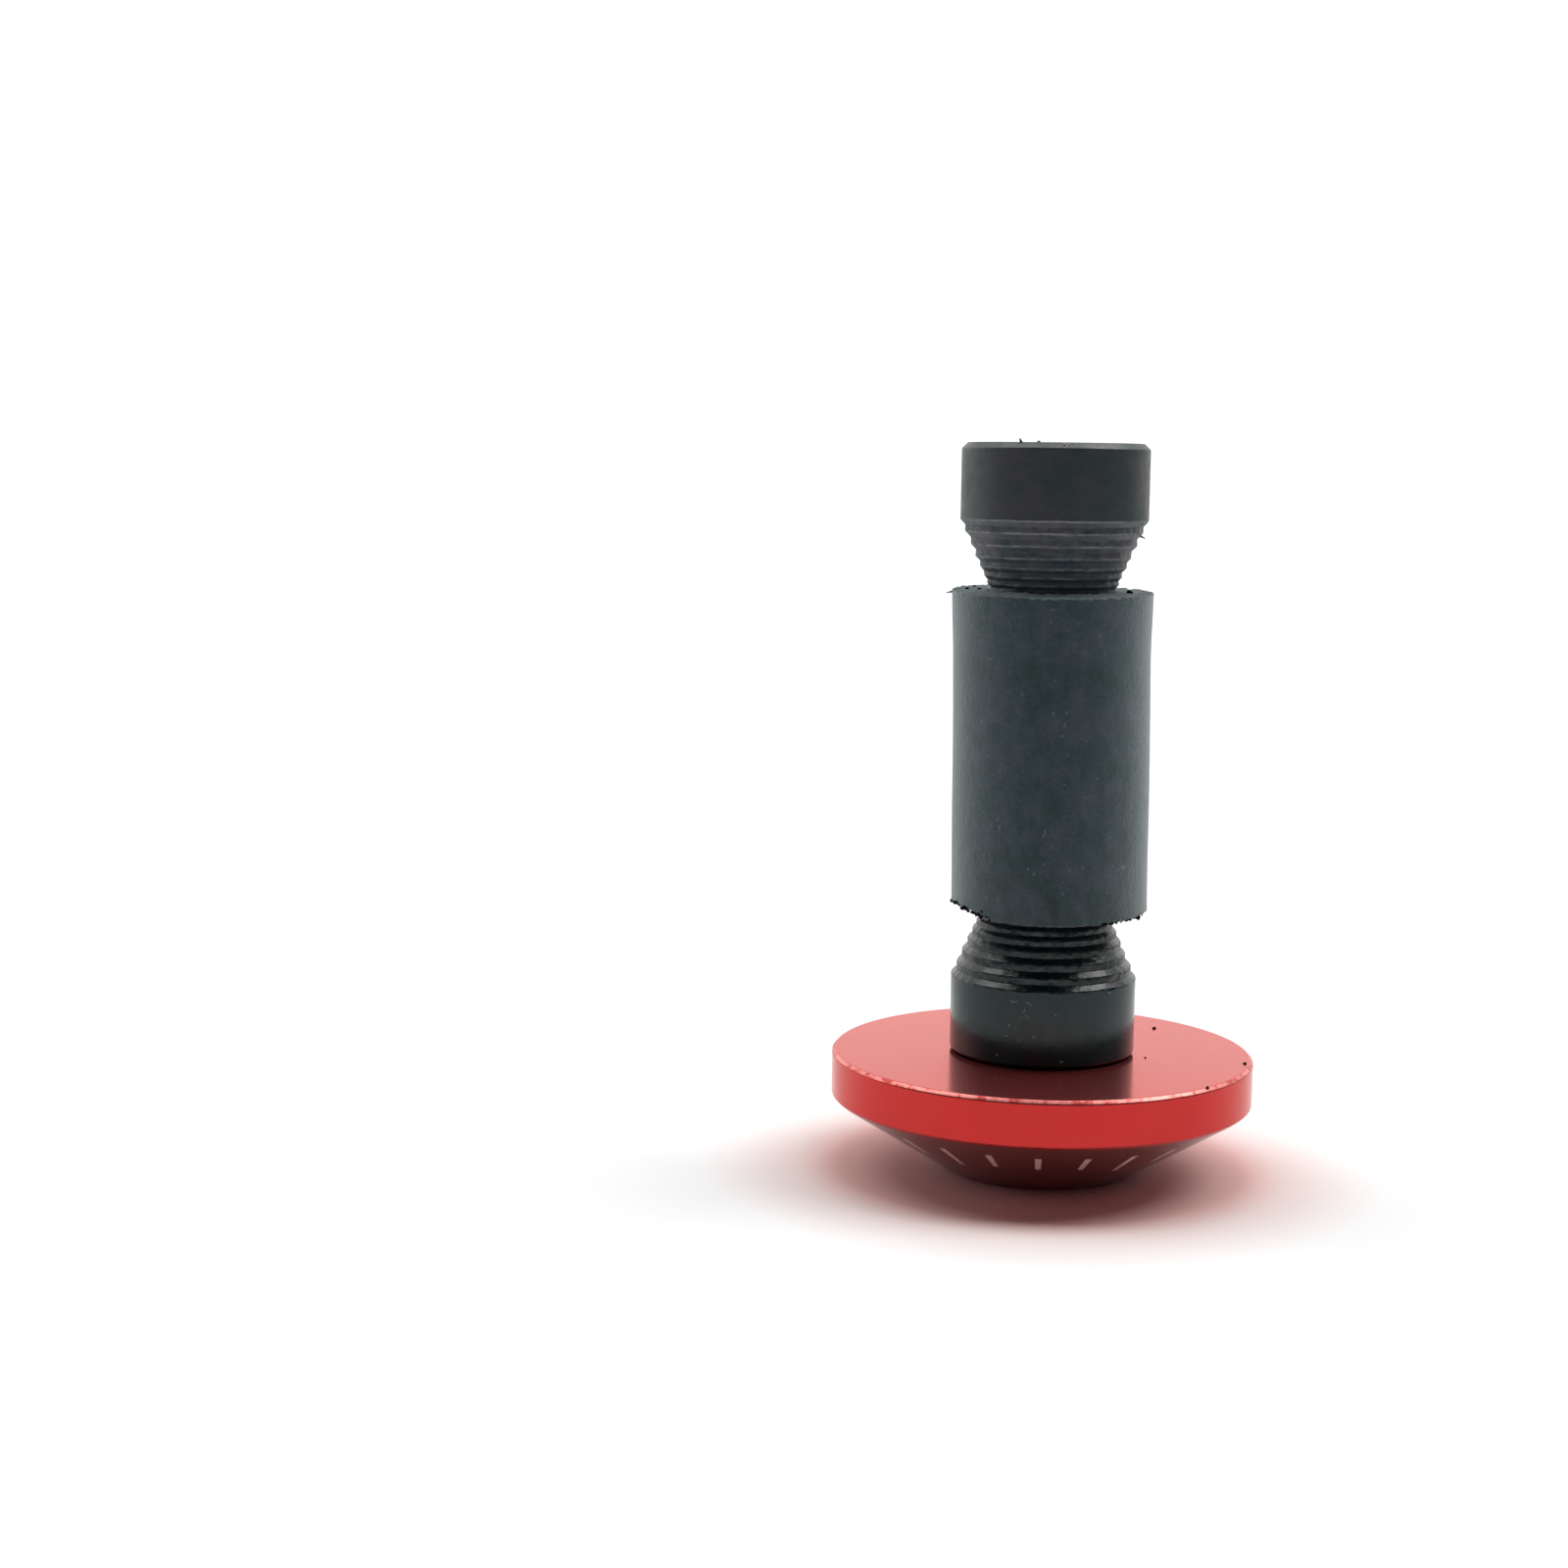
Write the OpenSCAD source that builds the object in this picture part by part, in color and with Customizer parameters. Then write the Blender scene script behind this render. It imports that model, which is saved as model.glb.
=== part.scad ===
// Bar end weight for a motorcycle: a turned cap whose long screw draws two ribbed
// cones into a rubber sleeve, so that the sleeve swells and grips the bar's bore.
// It stands on the flat nose of the cap: the axis is Z, and the floor is z = 0.

/* [Cap] */
// Outer diameter of the cap
cap_d = 32; // [28:0.5:42]
// Height of the straight band round the cap
band_h = 3.5; // [2:0.1:8]
// Height of the sloping face between the nose and the band
face_h = 5.5; // [3.5:0.1:8]
// Width of the flat ring on the nose, round the counterbore
nose_ring_w = 1.35; // [0.9:0.05:2.5]
// Bevel on the rim's two edges
rim_bevel = 0.25; // [0.1:0.05:0.6]
// Bevel round the outside of the nose ring
nose_bevel = 0.35; // [0.1:0.05:0.5]
// Bevel at the mouth of the counterbore
mouth_bevel = 0.15; // [0.05:0.05:0.3]
// How far the screw head lies below the nose
head_recess = 0.3; // [0.1:0.1:1]

/* [Cap screw] */
// Diameter of the screw's shank
screw_d = 6; // [5:0.5:7]
// Length of the screw under its head
screw_len = 45; // [42:1:48]
// Diameter of the screw head
head_d = 10; // [9:0.1:12]
// Height of the screw head
head_h = 5; // [4:0.1:5.5]
// Radius that rounds the head's outer edge
head_round = 0.4; // [0.1:0.1:0.6]
// Width across the flats of the hexagon socket
hex_flats = 6; // [4:0.5:6]
// Depth of the hexagon socket
hex_depth = 3; // [2:0.1:3.5]
// Width of the lead-in cone beyond the socket's flats
hex_lead_w = 0.8; // [0.6:0.1:1]
// Length of the bevel at the screw's tip
tip_bevel = 0.8; // [0.3:0.1:1.2]

/* [Cones] */
// Largest diameter of both cones
cone_d = 14; // [13:0.1:14.6]
// Height of the front cone's straight part, up to the corner of its shoulder
front_straight_h = 5.9; // [3:0.1:9]
// Height of the rear cone's straight part, down to the corner of its shoulder
rear_straight_h = 5.7; // [4:0.1:9]
// Angle between the line of a cone's rib corners and its axis
taper_angle = 24; // [18:0.5:28]
// Least wall round the screw's hole at a cone's tip
tip_wall = 0.5; // [0.4:0.05:1]
// Spacing of the ribs on both cones
rib_pitch = 0.95; // [0.8:0.05:1.6]
// Angle between a rib's sloping ledge and the axis
ledge_angle = 45; // [40:1:60]
// Radius that rounds the outer corner of each rib
rib_round = 0.12; // [0.05:0.01:0.2]
// Bevel at the front cone's foot
foot_bevel = 0.3; // [0.1:0.05:0.6]
// Bevel round the rear cone's end
end_bevel = 0.45; // [0.1:0.05:0.8]

/* [Rubber sleeve] */
// Outer diameter of the sleeve
sleeve_d = 14.8; // [14.6:0.1:16]
// Wall of the sleeve
sleeve_wall = 2.65; // [2.2:0.05:3.3]
// Length of the sleeve before it is squeezed
sleeve_len = 23.9; // [20:0.1:25]

/* [Fits] */
// Radial clearance of the screw in the cap and in the front cone
screw_clear = 0.1; // [0.05:0.01:0.1]
// Radial running clearance of the screw in the rear cone
thread_clear = 0.05; // [0.02:0.01:0.1]
// Radial gap for a tool round the screw head
head_gap = 1.15; // [0.5:0.05:1.5]
// Radial clearance between a cone's rib corners and the sleeve's mouth
mouth_clear = 0.1; // [0.05:0.01:0.2]

/* [Hidden] */
$fn = 128;

// Overlap that lets a cut break cleanly through a face
eps = 0.01;
// Slope of the socket's lead-in cone, from the head's face
lead_angle = 30;
// A hexagon's flat and its corner lie this far apart round the axis
hex_half_angle = 30;

cap_h = face_h + band_h;
counterbore_r = head_d / 2 + head_gap;
nose_r = counterbore_r + nose_ring_w;
head_seat_z = head_recess + head_h;
screw_tip_z = head_seat_z + screw_len;
mouth_r = sleeve_d / 2 - sleeve_wall;
// Step inwards from one rib to the next, and the height of the ledge that makes it
rib_step = rib_pitch * tan(taper_angle);
ledge_h = rib_step / tan(ledge_angle);
rib_count = floor((cone_d / 2 - screw_d / 2 - screw_clear - tip_wall) / rib_step);
taper_len = rib_count * rib_pitch;
// How far the round of a rib's corner reaches along its two sides
corner_reach = rib_round * tan(ledge_angle / 2);
// Length of each taper that stays outside the sleeve
taper_shown = (cone_d / 2 - mouth_r + mouth_clear) / tan(taper_angle);
front_taper_z = cap_h + front_straight_h;
sleeve_z = front_taper_z + taper_shown;
rear_taper_z = sleeve_z + sleeve_len + taper_shown;

// Outer corner of a rib, as [radius, height]: the first is the cone's shoulder
function rib_corner(k) = [cone_d / 2 - k * rib_step, k * rib_pitch];

// Points of one rib: the two ends of its round corner and the foot of the next riser
function rib_points(k) = [
    rib_corner(k) - [0, corner_reach],
    rib_corner(k) + corner_reach * [-sin(ledge_angle), cos(ledge_angle)],
    rib_corner(k) + [-rib_step, ledge_h]
];

// Half section of an expander cone, stepped like stairs with upright risers and sloping ledges
module cone_section(straight_h, end_cut) {
    polygon([
        [0, -straight_h],
        [cone_d / 2 - end_cut, -straight_h],
        [cone_d / 2, end_cut - straight_h],
        for (k = [0 : rib_count - 1]) each rib_points(k),
        rib_corner(rib_count),
        [0, taper_len]
    ]);
    for (k = [0 : rib_count - 1])
        translate(rib_corner(k) - [rib_round, corner_reach])
            circle(r = rib_round);
}

// Expander cone: its shoulder is at z = 0, its ribs rise from there, and a hole runs right through
module ribbed_cone(straight_h, end_cut, hole_r) {
    difference() {
        rotate_extrude()
            cone_section(straight_h, end_cut);
        translate([0, 0, -straight_h - eps])
            cylinder(r = hole_r, h = straight_h + taper_len + 2 * eps);
    }
}

// Turned cap: nose ring, sloping face, straight band and flat back, with a stepped hole
module end_cap() {
    hole_r = screw_d / 2 + screw_clear;
    color("#c8202a")
        rotate_extrude()
            polygon([
                [counterbore_r + mouth_bevel, 0],
                [nose_r - nose_bevel, 0],
                [nose_r, nose_bevel / 2],
                [cap_d / 2 - rim_bevel, face_h - rim_bevel / 2],
                [cap_d / 2, face_h + rim_bevel / 2],
                [cap_d / 2, cap_h - rim_bevel],
                [cap_d / 2 - rim_bevel, cap_h],
                [hole_r, cap_h],
                [hole_r, head_seat_z],
                [counterbore_r, head_seat_z],
                [counterbore_r, mouth_bevel]
            ]);
}

// Half section of the screw head, with its outer edge rounded
module head_section() {
    translate([0, head_recess + head_round])
        square([head_d / 2, head_h - head_round]);
    translate([0, head_recess])
        square([head_d / 2 - head_round, head_h]);
    translate([head_d / 2 - head_round, head_recess + head_round])
        circle(r = head_round);
}

// Hexagon socket with its lead-in cone, cut upwards from the head's face
module hex_socket() {
    translate([0, 0, head_recess - eps]) {
        cylinder(d = hex_flats / cos(hex_half_angle), h = hex_depth + eps, $fn = 6);
        cylinder(
            r1 = hex_flats / 2 + hex_lead_w,
            r2 = hex_flats / 2,
            h = hex_lead_w * tan(lead_angle) + eps
        );
    }
}

// Cap screw, head down, with a plain shank in place of its fine thread
module cap_screw() {
    color("#b9bcbb")
        difference() {
            union() {
                rotate_extrude()
                    head_section();
                translate([0, 0, head_seat_z - eps])
                    cylinder(d = screw_d, h = screw_len - tip_bevel + eps);
                translate([0, 0, screw_tip_z - tip_bevel])
                    cylinder(d1 = screw_d, d2 = screw_d - tip_bevel, h = tip_bevel);
            }
            hex_socket();
        }
}

// Front cone: its wide end stands on the back of the cap
module front_cone() {
    color("#26282a")
        translate([0, 0, front_taper_z])
            ribbed_cone(front_straight_h, foot_bevel, screw_d / 2 + screw_clear);
}

// Rubber sleeve: a cut length of tube whose mouths rest round the two ribbed tapers
module rubber_sleeve() {
    color("#33383c")
        translate([0, 0, sleeve_z])
            rotate_extrude()
                translate([mouth_r, 0])
                    square([sleeve_wall, sleeve_len]);
}

// Rear cone: the same form turned over, with the hole that the screw is turned into
module rear_cone() {
    color("#2b2d2f")
        translate([0, 0, rear_taper_z])
            mirror([0, 0, 1])
                ribbed_cone(rear_straight_h, end_bevel, screw_d / 2 + thread_clear);
}

end_cap();
cap_screw();
front_cone();
rubber_sleeve();
rear_cone();
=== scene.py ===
"""Looks of a bar end weight that stands on its nose: turned cap, socket screw, two ribbed
cones and a rubber sleeve, each as a detailed piece in place of its plain solid."""
import math
import random

import bmesh
import bpy
from mathutils import Matrix, Vector, noise


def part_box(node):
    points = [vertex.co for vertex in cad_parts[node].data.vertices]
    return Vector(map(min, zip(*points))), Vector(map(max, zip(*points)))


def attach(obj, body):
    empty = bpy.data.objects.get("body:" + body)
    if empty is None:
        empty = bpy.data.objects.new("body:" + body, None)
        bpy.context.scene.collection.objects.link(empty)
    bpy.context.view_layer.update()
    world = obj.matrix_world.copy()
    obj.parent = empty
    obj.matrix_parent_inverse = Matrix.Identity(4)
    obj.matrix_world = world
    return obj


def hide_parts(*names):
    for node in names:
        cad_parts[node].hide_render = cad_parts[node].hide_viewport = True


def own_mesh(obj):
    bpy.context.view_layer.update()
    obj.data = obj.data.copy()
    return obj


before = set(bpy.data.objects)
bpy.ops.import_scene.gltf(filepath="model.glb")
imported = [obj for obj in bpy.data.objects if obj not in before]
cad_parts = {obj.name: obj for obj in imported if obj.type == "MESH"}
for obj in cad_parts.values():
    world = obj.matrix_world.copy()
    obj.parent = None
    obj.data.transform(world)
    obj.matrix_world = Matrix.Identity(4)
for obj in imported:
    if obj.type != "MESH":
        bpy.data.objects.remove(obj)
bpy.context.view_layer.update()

# Lengths are in metres where a comment doesn't say millimetres
MM = 0.001
TAU = 2 * math.pi

# Roundings of edges, from a keen turned edge to a cut in rubber
KEEN = 0.04 * MM
FINE = 0.05 * MM
EASED = 0.06 * MM
SOFT = 0.08 * MM
BLUNT = 0.1 * MM
# Points that hold a rounding in place stand this many roundings from its corner
SUPPORT = 1.5
# A point closer to the axis than this is on it
ON_AXIS = 1e-7

# Sizes of the turned cap
CAP_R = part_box("end_cap")[1].x
CAP_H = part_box("end_cap")[1].z
BAND_H = 3.5 * MM
FACE_H = CAP_H - BAND_H
NOSE_R = 7.5 * MM
NOSE_BEVEL = 0.35 * MM
RIM_BEVEL = 0.25 * MM
COUNTERBORE_R = 6.15 * MM
SEAT_FILLET = 0.15 * MM
MOUTH_BEVEL = 0.15 * MM
HOLE_R = 3.1 * MM
# Plain radial bars on the sloping face: one at each step in degrees, longer at each long step
MARK_INNER_R = 11.7 * MM
MARK_LONG_R = 11.0 * MM
MARK_OUTER_R = 13.9 * MM
MARK_STEP = 15
MARK_LONG_STEP = 60
MARK_HALF_ANGLE = 1
# Dark specks on the cap's back, half sunk: radius, angle in degrees and size, in millimetres
CAP_SPECKS = [
    (12.57, 44.9, 0.15), (8.02, -11, 0.09), (15.4, -8.7, 0.14), (15.8, -40.6, 0.13), (8.2, -62, 0.05),
]
SPECK_SINK = 0.02 * MM

# Sizes of the cap screw
HEAD_R = 5.0 * MM
HEAD_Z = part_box("cap_screw")[0].z
HEAD_H = 5.0 * MM
HEAD_ROUND = 0.4 * MM
HEAD_SEAT_Z = HEAD_Z + HEAD_H
SCREW_R = 3.0 * MM
SCREW_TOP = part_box("cap_screw")[1].z
HEX_FLATS = 6.0 * MM
HEX_DEPTH = 3.0 * MM
HEX_LEAD_W = 0.8 * MM
LEAD_ANGLE = math.radians(30)
HEX_HALF_ANGLE = math.radians(30)
TIP_BEVEL = 0.8 * MM
# Second row of points at the tip, which its bevel draws out to the first
TIP_ROW_R = 1.8 * MM
# How far the cutters of the hexagon socket stand out of the head, and the lead-in's blunt tip
HEX_OUT = 1.0 * MM
LEAD_OUT = 0.5 * MM
LEAD_TIP_R = 0.5 * MM
THREAD_PITCH = 1.0 * MM
THREAD_DEPTH = 0.5 * MM
THREAD_LEN = 24 * MM
# Share of the thread's depth that its flanks gain for each pitch from the middle of a crest, and
# what is taken off that share to leave the crest flat
THREAD_FLANK = 2.6
THREAD_CREST = 0.15
# Fade of the thread at its far end: its whole length, and the share of it that lies past the end
THREAD_FADE = 0.6 * MM
THREAD_FADE_PAST = 0.4
# Distance between the rows of points that carry the thread, on the screw and in the rear cone
SCREW_ROW = 0.1 * MM
BORE_ROW = 0.12 * MM

# Sizes of the two cones, whose ribs are stairs of upright risers and sloping ledges
CONE_R = 7.0 * MM
FRONT_STRAIGHT = 5.9 * MM
REAR_STRAIGHT = 5.7 * MM
TAPER_ANGLE = math.radians(24)
TIP_R = 3.6 * MM
RIB_PITCH = 0.95 * MM
LEDGE_ANGLE = math.radians(45)
RIB_CUT = 0.09 * MM
RIB_FILLET = 0.04 * MM
# Spacing of the ribs from the shoulder to the tip, as shares of the pitch
RIB_SPACING = (0.95, 1.0, 0.95, 0.8, 0.7, 0.62, 0.58, 0.6, 0.6, 0.6, 0.6)
TAPER_LEN = math.floor((CONE_R - TIP_R) / (RIB_PITCH * math.tan(TAPER_ANGLE))) * RIB_PITCH
FRONT_TAPER_Z = CAP_H + FRONT_STRAIGHT
REAR_END_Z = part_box("rear_cone")[1].z
REAR_TAPER_Z = REAR_END_Z - REAR_STRAIGHT
FOOT_BEVEL = 0.3 * MM
END_BEVEL = 0.45 * MM
BORE_LEAD_IN = 0.25 * MM
REAR_BORE_R = 3.05 * MM
# Rows for the thread stay inside this radius; a point this near the bore's radius is on its wall,
# where the thread has this share of the screw's depth
BORE_ROWS_R = 3.5 * MM
BORE_WALL = 0.01 * MM
BORE_THREAD_SHARE = 0.5
# Width of a rib's paler ridge (partly wear, partly painted highlight), which fades out at this many
# widths from the rib's corner
RIDGE_W = 0.11 * MM
RIDGE_END = 1.3
# Unevenness of the ribs: long soft waves and short torn spots, each by how many lie in a radian,
# their height and their share
FRONT_WEAR = 0.07 * MM
REAR_WEAR = 0.10 * MM
WAVES_PER_RADIAN = 2.2
WAVE_H = 1.1 * MM
WAVE_SHARE = 0.6
SPOTS_PER_RADIAN = 9
SPOT_H = 0.45 * MM
SPOT_SHARE = 0.5
# Scuffs on the front cone: angle of the root in degrees and height in millimetres, lean in degrees
# and length in millimetres
SCUFFS = [
    (-108.5, 14.1, 2, 0.6), (-99, 14.1, -20, 0.3), (-97, 13.95, -60, 0.2), (-101, 13.35, 70, 0.35),
    (-99.5, 13.1, -40, 0.35), (-103, 12.9, 15, 0.25), (-106.5, 12.15, -55, 0.45), (-110, 12.2, 80, 0.2),
    (-82.5, 13.25, -30, 0.25), (-46, 14.55, 20, 0.3), (-78, 9.65, 10, 0.25), (-118, 9.9, 0, 0.2),
    (-112, 11.4, 30, 0.3), (-95, 11.5, 30, 0.2), (-104, 11.2, 20, 0.2),
]
SCUFF_SINK = 0.01 * MM
SCUFF_THICK = 0.1 * MM
# Burrs: distance in from the side in millimetres, angle in degrees and distance below the end, then
# the way that they point, and their length and thickness in millimetres
REAR_BURRS = [
    (0.5, -113, 0.02, (-0.2, 0, 1), 0.36, 0.15),
    (0.75, -8, 6.7, (1, 0, -0.5), 0.7, 0.12),
]
SLEEVE_BURRS = [(0.05, 186, 0.1, (-1, 0, -0.25), 0.75, 0.13)]
# Seed of the noise that bends burrs and scuffs, which would otherwise differ in each run
BURR_SEED = 1796016670
# Dust and a dark lump on the rear cone's end: radius, angle in degrees and size, in millimetres
REAR_DUST = [(6.72, -85, 0.09), (6.72, -82, 0.07)]
REAR_LUMP = [(6.4, -101, 0.14)]
DUST_BELOW = 0.17 * MM
LUMP_BELOW = 0.06 * MM

# Sizes of the rubber sleeve, which leans, flares and is a little wavy
SLEEVE_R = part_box("rubber_sleeve")[1].x
SLEEVE_Z0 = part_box("rubber_sleeve")[0].z
SLEEVE_Z1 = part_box("rubber_sleeve")[1].z
SLEEVE_MOUTH_R = 4.75 * MM
SLEEVE_FLARE = 0.12 * MM
FLARE_LEN = 5 * MM
SLEEVE_LEAN = 0.3 * MM
# Waves of its side: their depth, their length along the sleeve and how many lie in a radian
SLEEVE_WAVE = 0.05 * MM
SLEEVE_WAVE_LEN = 7 * MM
SLEEVE_WAVES_PER_RADIAN = 1.3
# How far the raggedness of a cut end reaches along the sleeve, and how wide its outer edge is
END_REACH = 0.35 * MM
EDGE_W = 0.25 * MM
# Depth of the pits in the upper and the lower end, in millimetres, and their size
UPPER_PITS = 0.09
LOWER_PITS = 0.05
PIT_SIZE = 0.55 * MM
# Raggedness of the cut edges in millimetres, and what the torn left side adds: its direction and
# half width are in degrees
RAGGED = 0.05
TORN_MORE = 0.16
TORN_LEFT = (200, 42)
# How each end is cut: raised and lowered stretches, by their height in millimetres and by their
# direction and half width in degrees
UPPER_CUT = [(0.15, 120, 110), (-0.24, -90, 110)]
LOWER_CUT = [(0.5, *TORN_LEFT), (-0.3, -85, 85)]
# Crumbs on the lower edge, in millimetres: between which angles in degrees and up to which height,
# their least and largest size, and how many
TORN_EDGES = [
    ((178, 236, 0.7), (0.08, 0.15), 40),
    ((300, 352, -0.06), (0.05, 0.10), 30),
    ((334.5, 337, -0.03), (0.13, 0.17), 3),
]
# Share of its size by which a crumb hangs down
CRUMB_HANG = 0.5
# Dark chips in the upper end: radius, angle in degrees and size, in millimetres
TOP_CHIPS = [
    (6.4, 180, 0.2), (6.8, 152, 0.2), (5.5, 178, 0.18), (5.8, -14, 0.2), (7.0, 165, 0.16), (6.9, 12, 0.13),
]
CHIP_SINK = 0.03 * MM

# Noise for torn spots, cut edges and pits: its fineness, the step between octaves and their number
SPOT_NOISE = (0.7, 2.1, 4)
EDGE_NOISE = (0.5, 2.2, 5)
PIT_NOISE = (0.6, 2.0, 4)
# Plane of the noise that the pits are taken from
PIT_PLANE = 5

# Width of the photograph in pixels, and the camera that was fitted to it: its place in the part's
# frame, and its yaw, pitch and roll in degrees
PHOTO_PX = 1600
FOCAL_PX = 2598
SENSOR_MM = 36
CAMERA_BACK = 192.03 * MM
CAMERA_UP = 53.22 * MM
CAMERA_TURN = (-5.958, 7.151, 0.705)
CLIP_START = 10 * MM

# Light of the world: it dims towards the front and upwards. Each fade runs between two values of a
# direction's part towards that side
WORLD_LEVEL = 1.18
DIM_SIDE = (0.28, -1, 0)
DIM_FRONT = 0.06
FRONT_FADE = (-0.65, 0.1)
DIM_TOP = 0.15
TOP_FADE = (0.45, 0.85)

# Row of overhead lamps: how far each leans to the right for one unit of height, and its power
LAMP_ROW = ((-0.55, 0.75), (0.04, 1.1), (0.66, 1.3))
# How far they lean backwards for one unit of height, and their spread in degrees
LAMP_BEHIND = 0.22
LAMP_SPREAD = 32

# Floor: half its width, how much light it throws back in general and into gloss, and the share of
# that which is left at the second of two distances from the axis, in millimetres
FLOOR_HALF = 3.0
FLOOR_WHITE = 0.7
FLOOR_MIRRORED = 0.9
FLOOR_FAR = 0.56
FLOOR_FADE = (60, 95)
# Painted red shade on the floor round the cap, seen only by the camera, for the cap's red light and
# its shadow: between which distances in millimetres, and its colours there
PAINTED_SHADE_REACH = (8, 26)
PAINTED_RED_SHADE = [
    (0.0, (0.98, 0.76, 0.74)),
    (0.42, (0.92, 0.61, 0.58)),
    (0.6, (0.93, 0.80, 0.77)),
    (1.0, (1, 1, 1)),
]

# Colour sockets of a mix node, by number because its other sockets have the same names
MIX_A = 6
MIX_B = 7
MIX_RESULT = 2


# Shapes

def smoothstep(x):
    """0 below 0 and 1 above 1, with a smooth rise between."""
    x = min(max(x, 0.0), 1.0)
    return x * x * (3 - 2 * x)


def around(r, degrees, z):
    """Point at a radius, an angle about the axis and a height."""
    a = math.radians(degrees)
    return (r * math.cos(a), r * math.sin(a), z)


def outwards(angle):
    """Direction away from the axis at an angle in radians."""
    return Vector((math.cos(angle), math.sin(angle), 0))


def rounded(corners, steps=5):
    """Outline from (radius, height, rounding) corners: each is cut back by its rounding."""
    points = []
    for i, (r, z, cut) in enumerate(corners):
        here = Vector((r, z))
        if cut == 0:
            points.append(here)
            continue
        before = (Vector(corners[i - 1][:2]) - here).normalized() * cut
        after = (Vector(corners[(i + 1) % len(corners)][:2]) - here).normalized() * cut
        start = here + before
        end = here + after
        points.append(here + before * SUPPORT)
        for k in range(steps + 1):
            t = k / steps
            points.append(start * (1 - t) ** 2 + here * 2 * t * (1 - t) + end * t ** 2)
        points.append(here + after * SUPPORT)
    return points


def divided(points, longest):
    """The same closed outline with no stretch longer than a given length."""
    out = []
    for i, a in enumerate(points):
        b = points[(i + 1) % len(points)]
        parts = max(1, math.ceil((b - a).length / longest))
        out += [a.lerp(b, k / parts) for k in range(parts)]
    return out


def lathe(name, outline, sides, shape=None, closed=True):
    """Turns an outline round the Z axis; shape moves each point (radius, height, angle)."""
    verts = []
    rings = []
    faces = []
    for r, z in outline:
        if r < ON_AXIS:
            rings.append([len(verts)])
            verts.append((0, 0, z))
            continue
        ring = []
        for k in range(sides):
            angle = TAU * k / sides
            pr, pz = shape(r, z, angle) if shape else (r, z)
            ring.append(len(verts))
            verts.append((pr * math.cos(angle), pr * math.sin(angle), pz))
        rings.append(ring)
    count = len(rings)
    for i in range(count if closed else count - 1):
        a = rings[i]
        b = rings[(i + 1) % count]
        for k in range(sides):
            n = (k + 1) % sides
            if len(a) == 1:
                faces.append((a[0], b[n], b[k]))
            elif len(b) == 1:
                faces.append((a[k], a[n], b[0]))
            else:
                faces.append((a[k], a[n], b[n], b[k]))
    mesh = bpy.data.meshes.new(name)
    mesh.from_pydata(verts, [], faces)
    piece = bpy.data.objects.new(name, mesh)
    bpy.context.scene.collection.objects.link(piece)
    settle(piece)
    return piece


def settle(piece, sharp=40):
    """Turns the faces outwards and shades them smoothly, apart from edges sharper than an angle."""
    bm = bmesh.new()
    bm.from_mesh(piece.data)
    bmesh.ops.recalc_face_normals(bm, faces=bm.faces)
    bm.to_mesh(piece.data)
    bm.free()
    piece.data.shade_smooth()
    piece.data.set_sharp_from_angle(angle=math.radians(sharp))


def add_materials(piece, *mats):
    for mat in mats:
        piece.data.materials.append(mat)


def add_blobs(piece, blobs, slot=0, lump=0.7, fineness=0.9):
    """Adds small rough lumps, each (x, y, z, radius), half sunk in the surface."""
    bm = bmesh.new()
    bm.from_mesh(piece.data)
    for x, y, z, size in blobs:
        made = bmesh.ops.create_icosphere(
            bm, subdivisions=2, radius=size, matrix=Matrix.Translation((x, y, z)))
        for v in made["verts"]:
            out = v.co - Vector((x, y, z))
            v.co += out * lump * noise.noise(v.co / size * fineness)
        for face in {f for v in made["verts"] for f in v.link_faces}:
            face.material_index = slot
            face.smooth = True
    bm.to_mesh(piece.data)
    bm.free()


def spots(places, z):
    """Blobs at one height, from (radius, angle in degrees, size) with lengths in millimetres."""
    return [(*around(r * MM, turn, z), size * MM) for r, turn, size in places]


def add_burr(piece, root, out, length, thick, slot=0, reach=0.35, tip=0.25, fineness=0.6, twist=0.5):
    """Adds a thin torn sliver that tapers from its root along a direction."""
    bm = bmesh.new()
    bm.from_mesh(piece.data)
    out = Vector(out).normalized()
    turn = out.to_track_quat("Z", "Y").to_matrix().to_4x4()
    place = Matrix.Translation(Vector(root) + out * length * reach) @ turn
    made = bmesh.ops.create_cone(
        bm, cap_ends=True, segments=7, radius1=thick, radius2=thick * tip,
        depth=length, matrix=place)
    for v in made["verts"]:
        v.co += noise.noise_vector(v.co / thick * fineness) * thick * twist
    for face in {f for v in made["verts"] for f in v.link_faces}:
        face.material_index = slot
    bm.to_mesh(piece.data)
    bm.free()


def add_burrs(piece, burrs, side_r, end_z):
    """Adds burrs from a table, on a piece with a given radius and upper end."""
    for inwards, turn, below, way, length, thick in burrs:
        root = around(side_r - inwards * MM, turn, end_z - below * MM)
        add_burr(piece, root, way, length * MM, thick * MM)


def apply_modifiers(piece):
    bpy.context.view_layer.update()
    ready = piece.evaluated_get(bpy.context.evaluated_depsgraph_get())
    mesh = bpy.data.meshes.new_from_object(ready)
    piece.modifiers.clear()
    piece.data = mesh


def cut_with(piece, cutters):
    """Cuts solids out of a piece and keeps the result as its mesh."""
    for cutter in cutters:
        cut = piece.modifiers.new("cut", "BOOLEAN")
        cut.operation = "DIFFERENCE"
        cut.solver = "EXACT"
        cut.object = cutter
    apply_modifiers(piece)
    for cutter in cutters:
        bpy.data.objects.remove(cutter)


# Material nodes

def material(name, **values):
    """Node material with a Principled shader whose plain sockets are set by name."""
    mat = bpy.data.materials.new(name)
    mat.use_nodes = True
    shader = shader_of(mat)
    for socket, value in values.items():
        shader.inputs[socket.replace("_", " ")].default_value = value
    return mat


def shader_of(mat):
    return mat.node_tree.nodes["Principled BSDF"]


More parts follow.
